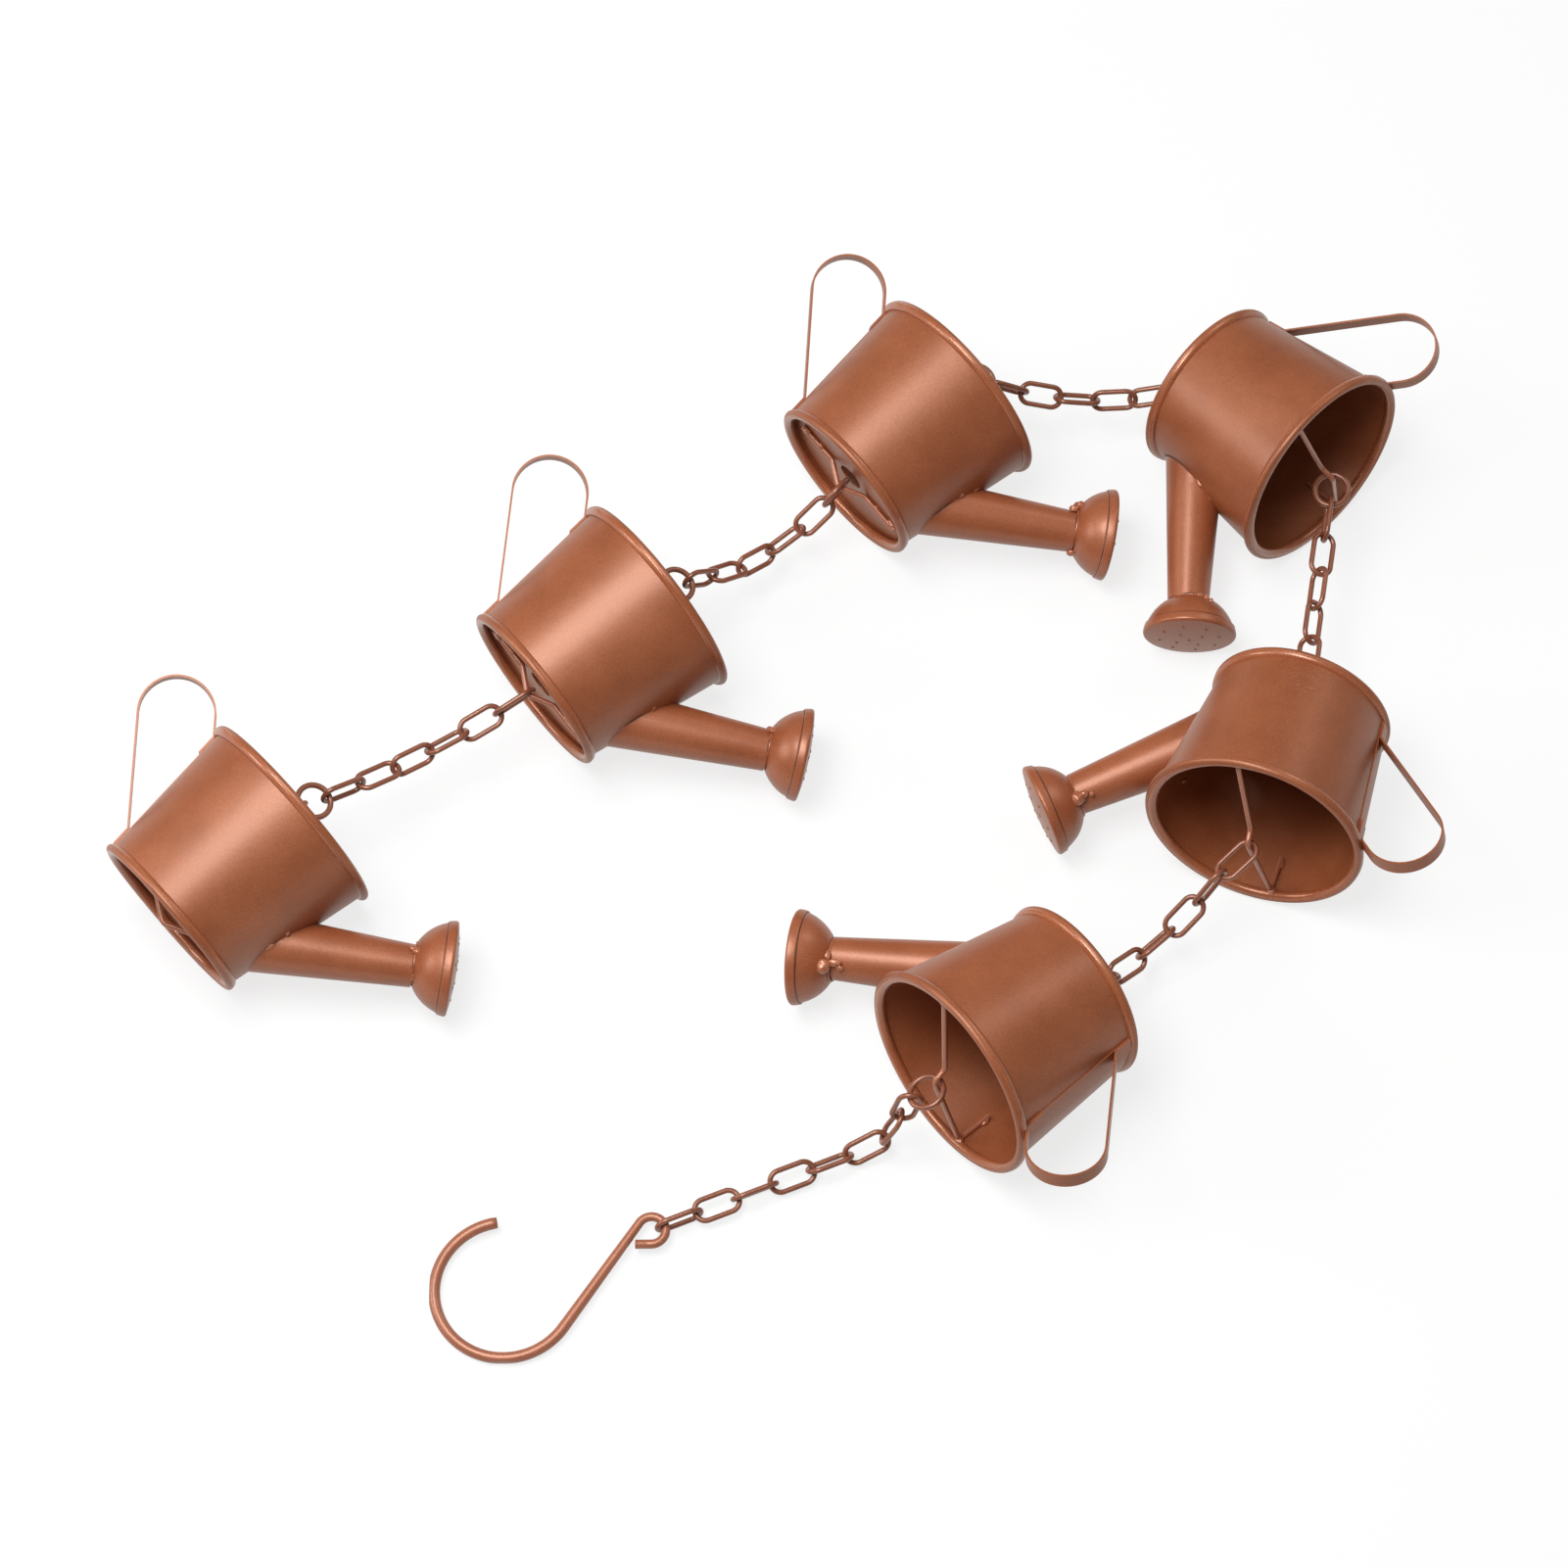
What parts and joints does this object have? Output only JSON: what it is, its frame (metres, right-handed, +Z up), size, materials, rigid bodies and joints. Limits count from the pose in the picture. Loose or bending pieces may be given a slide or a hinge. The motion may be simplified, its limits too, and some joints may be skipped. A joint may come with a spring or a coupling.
{
  "type": "rain chain",
  "caption": "Rain chain of little copper-coloured watering cans hung base to mouth on short runs of oval links, with an open wire hook at the top end, lying on the ground.",
  "frame": {"origin": "on the surface that the chain lies on, under the middle of its outer box", "axes": "+Z up from the surface, +X along the longer side of the laid out chain, hook end at -Y"},
  "size_m": [0.5282, 0.4574, 0.0874],
  "materials": {
    "can_copper": "satin copper coloured paint with a fine metallic flake",
    "hanger_copper": "satin copper coloured paint",
    "chain_copper": "satin copper coloured paint",
    "hook_copper": "satin copper coloured paint"
  },
  "bodies": {
    "hook": {"hook": "hook_copper"},
    "run_1_links_a": {"run_1_links_a": "chain_copper"},
    "run_1_links_b": {"run_1_links_b": "chain_copper"},
    "run_1_ring": {"run_1_ring": "chain_copper"},
    "can_1": {"can_1_wall": "can_copper", "can_1_base": "can_copper", "can_1_spout": "can_copper", "can_1_head": "can_copper", "can_1_handle": "can_copper", "can_1_wires": "hanger_copper"},
    "run_2_ring": {"run_2_ring": "chain_copper"},
    "run_2_links_a": {"run_2_links_a": "chain_copper"},
    "run_2_links_b": {"run_2_links_b": "chain_copper"},
    "run_2_links_c": {"run_2_links_c": "chain_copper"},
    "can_2": {"can_2_wall": "can_copper", "can_2_base": "can_copper", "can_2_spout": "can_copper", "can_2_head": "can_copper", "can_2_handle": "can_copper", "can_2_wires": "hanger_copper"},
    "run_3_links_a": {"run_3_links_a": "chain_copper"},
    "run_3_links_b": {"run_3_links_b": "chain_copper"},
    "run_3_links_c": {"run_3_links_c": "chain_copper"},
    "run_3_ring": {"run_3_ring": "chain_copper"},
    "can_3": {"can_3_wall": "can_copper", "can_3_base": "can_copper", "can_3_spout": "can_copper", "can_3_head": "can_copper", "can_3_handle": "can_copper", "can_3_wires": "hanger_copper"},
    "run_4_links_a": {"run_4_links_a": "chain_copper"},
    "run_4_links_b": {"run_4_links_b": "chain_copper"},
    "run_4_links_c": {"run_4_links_c": "chain_copper"},
    "run_4_ring": {"run_4_ring": "chain_copper"},
    "can_4": {"can_4_wall": "can_copper", "can_4_base": "can_copper", "can_4_spout": "can_copper", "can_4_head": "can_copper", "can_4_handle": "can_copper", "can_4_wires": "hanger_copper"},
    "run_5_upper_ring": {"run_5_upper_ring": "chain_copper"},
    "run_5_links_a": {"run_5_links_a": "chain_copper"},
    "run_5_links_b": {"run_5_links_b": "chain_copper"},
    "run_5_ring": {"run_5_ring": "chain_copper"},
    "can_5": {"can_5_wall": "can_copper", "can_5_base": "can_copper", "can_5_spout": "can_copper", "can_5_head": "can_copper", "can_5_handle": "can_copper", "can_5_wires": "hanger_copper"},
    "run_6_links_a": {"run_6_links_a": "chain_copper"},
    "run_6_links_b": {"run_6_links_b": "chain_copper"},
    "run_6_links_c": {"run_6_links_c": "chain_copper"},
    "run_6_ring": {"run_6_ring": "chain_copper"},
    "can_6": {"can_6_wall": "can_copper", "can_6_base": "can_copper", "can_6_spout": "can_copper", "can_6_head": "can_copper", "can_6_handle": "can_copper", "can_6_wires": "hanger_copper"}
  },
  "joints": [
    {"name": "run_1_links_a_swing", "type": "hinge", "parent": "hook", "child": "run_1_links_a", "pos_m": [-0.04695, -0.17464, 0.00525], "axis": [-0.3778, 0.9259, 0], "range_deg": [-30, 30]},
    {"name": "run_1_links_b_swing", "type": "hinge", "parent": "run_1_links_a", "child": "run_1_links_b", "pos_m": [0.00758, -0.15239, 0.00525], "axis": [0.231, -0.5661, 0.7913], "range_deg": [-30, 30]},
    {"name": "run_1_ring_swing", "type": "hinge", "parent": "run_1_links_b", "child": "run_1_ring", "pos_m": [0.04693, -0.13629, 0.04028], "axis": [0.9707, -0.0438, -0.2365], "range_deg": [-15, 30]},
    {"name": "can_1_swing", "type": "hinge", "parent": "run_1_ring", "child": "can_1", "pos_m": [0.05596, -0.13307, 0.0414], "axis": [0.2517, -0.168, -0.9531], "range_deg": [-20, 30]},
    {"name": "run_2_ring_swing", "type": "hinge", "parent": "can_1", "child": "run_2_ring", "pos_m": [0.11183, -0.08853, 0.03598], "axis": [-0.6134, 0.734, -0.2914], "range_deg": [-30, 0]},
    {"name": "run_2_links_a_swing", "type": "hinge", "parent": "run_2_ring", "child": "run_2_links_a", "pos_m": [0.11609, -0.08485, 0.02698], "axis": [0.279, 0.6921, 0.6657], "range_deg": [-30, 30]},
    {"name": "run_2_links_b_swing", "type": "hinge", "parent": "run_2_links_a", "child": "run_2_links_b", "pos_m": [0.13826, -0.06649, 0.01655], "axis": [0.3651, -0.6594, -0.6572], "range_deg": [-30, 30]},
    {"name": "run_2_links_c_swing", "type": "hinge", "parent": "run_2_links_b", "child": "run_2_links_c", "pos_m": [0.1586, -0.049, 0.02615], "axis": [0.511, 0.462, -0.7249], "range_deg": [-30, 30]},
    {"name": "can_2_swing", "type": "hinge", "parent": "run_2_links_c", "child": "can_2", "pos_m": [0.17877, -0.03257, 0.0414], "axis": [-0.3023, 0.0138, 0.9531], "range_deg": [-30, 12]},
    {"name": "run_3_links_a_swing", "type": "hinge", "parent": "can_2", "child": "run_3_links_a", "pos_m": [0.20361, 0.03443, 0.03598], "axis": [-0.9044, 0.3117, -0.2914], "range_deg": [-30, 30]},
    {"name": "run_3_links_b_swing", "type": "hinge", "parent": "run_3_links_a", "child": "run_3_links_b", "pos_m": [0.20793, 0.06266, 0.03519], "axis": [0.6644, -0.0964, -0.7411], "range_deg": [-30, 30]},
    {"name": "run_3_links_c_swing", "type": "hinge", "parent": "run_3_links_b", "child": "run_3_links_c", "pos_m": [0.21312, 0.09319, 0.0364], "axis": [-0.9249, 0.1228, 0.3597], "range_deg": [-30, 30]},
    {"name": "run_3_ring_swing", "type": "hinge", "parent": "run_3_links_c", "child": "run_3_ring", "pos_m": [0.21868, 0.1259, 0.04019], "axis": [0.1126, -0.1526, 0.9819], "range_deg": [-30, 7]},
    {"name": "can_3_swing", "type": "hinge", "parent": "run_3_ring", "child": "can_3", "pos_m": [0.22012, 0.13417, 0.0414], "axis": [0.1417, 0.2674, -0.9531], "range_deg": [-12, 30]},
    {"name": "run_4_links_a_swing", "type": "hinge", "parent": "can_3", "child": "run_4_links_a", "pos_m": [0.17016, 0.18526, 0.03598], "axis": [-0.6683, -0.6844, -0.2914], "range_deg": [-30, 30]},
    {"name": "run_4_links_b_swing", "type": "hinge", "parent": "run_4_links_a", "child": "run_4_links_b", "pos_m": [0.14286, 0.18312, 0.02539], "axis": [-0.0625, 0.382, 0.922], "range_deg": [-30, 12]},
    {"name": "run_4_links_c_swing", "type": "hinge", "parent": "run_4_links_b", "child": "run_4_links_c", "pos_m": [0.11197, 0.18285, 0.02619], "axis": [0.1881, 0.788, 0.5863], "range_deg": [-30, 30]},
    {"name": "run_4_ring_swing", "type": "hinge", "parent": "run_4_links_c", "child": "run_4_ring", "pos_m": [0.08139, 0.18271, 0.03934], "axis": [-0.4386, 0.3948, -0.8073], "range_deg": [-17, 30]},
    {"name": "can_4_swing", "type": "hinge", "parent": "run_4_ring", "child": "can_4", "pos_m": [0.07314, 0.18267, 0.0414], "axis": [0.2615, -0.1523, 0.9531], "range_deg": [-30, 12]},
    {"name": "run_5_upper_ring_swing", "type": "hinge", "parent": "can_4", "child": "run_5_upper_ring", "pos_m": [0.02009, 0.1348, 0.03598], "axis": [0.6571, -0.6952, -0.2914], "range_deg": [-30, 3]},
    {"name": "run_5_links_a_swing", "type": "hinge", "parent": "run_5_upper_ring", "child": "run_5_links_a", "pos_m": [0.0146, 0.13108, 0.02764], "axis": [0.2704, 0.6517, -0.7086], "range_deg": [-30, 30]},
    {"name": "run_5_links_b_swing", "type": "hinge", "parent": "run_5_links_a", "child": "run_5_links_b", "pos_m": [-0.0089, 0.11351, 0.01871], "axis": [-0.369, 0.6761, -0.6378], "range_deg": [-30, 30]},
    {"name": "run_5_ring_swing", "type": "hinge", "parent": "run_5_links_b", "child": "run_5_ring", "pos_m": [-0.04118, 0.08887, 0.03944], "axis": [0.5481, 0.3542, 0.7577], "range_deg": [-30, 30]},
    {"name": "can_5_swing", "type": "hinge", "parent": "run_5_ring", "child": "can_5", "pos_m": [-0.04811, 0.08393, 0.0414], "axis": [-0.2535, 0.1653, -0.9531], "range_deg": [-30, 30]},
    {"name": "run_6_links_a_swing", "type": "hinge", "parent": "can_5", "child": "run_6_links_a", "pos_m": [-0.10352, 0.0388, 0.03598], "axis": [0.6211, -0.7276, -0.2914], "range_deg": [-30, 30]},
    {"name": "run_6_links_b_swing", "type": "hinge", "parent": "run_6_links_a", "child": "run_6_links_b", "pos_m": [-0.12772, 0.02435, 0.0316], "axis": [0.3706, -0.6315, 0.681], "range_deg": [-30, 30]},
    {"name": "run_6_links_c_swing", "type": "hinge", "parent": "run_6_links_b", "child": "run_6_links_c", "pos_m": [-0.15411, 0.00814, 0.03219], "axis": [0.5368, -0.8104, 0.2346], "range_deg": [-30, 30]},
    {"name": "run_6_ring_swing", "type": "hinge", "parent": "run_6_links_c", "child": "run_6_ring", "pos_m": [-0.18205, -0.00897, 0.03851], "axis": [-0.2066, -0.1083, -0.9724], "range_deg": [-30, 30]},
    {"name": "can_6_swing", "type": "hinge", "parent": "run_6_ring", "child": "can_6", "pos_m": [-0.1888, -0.01324, 0.0414], "axis": [0.2634, -0.1491, 0.9531], "range_deg": [-30, 30]}
  ]
}
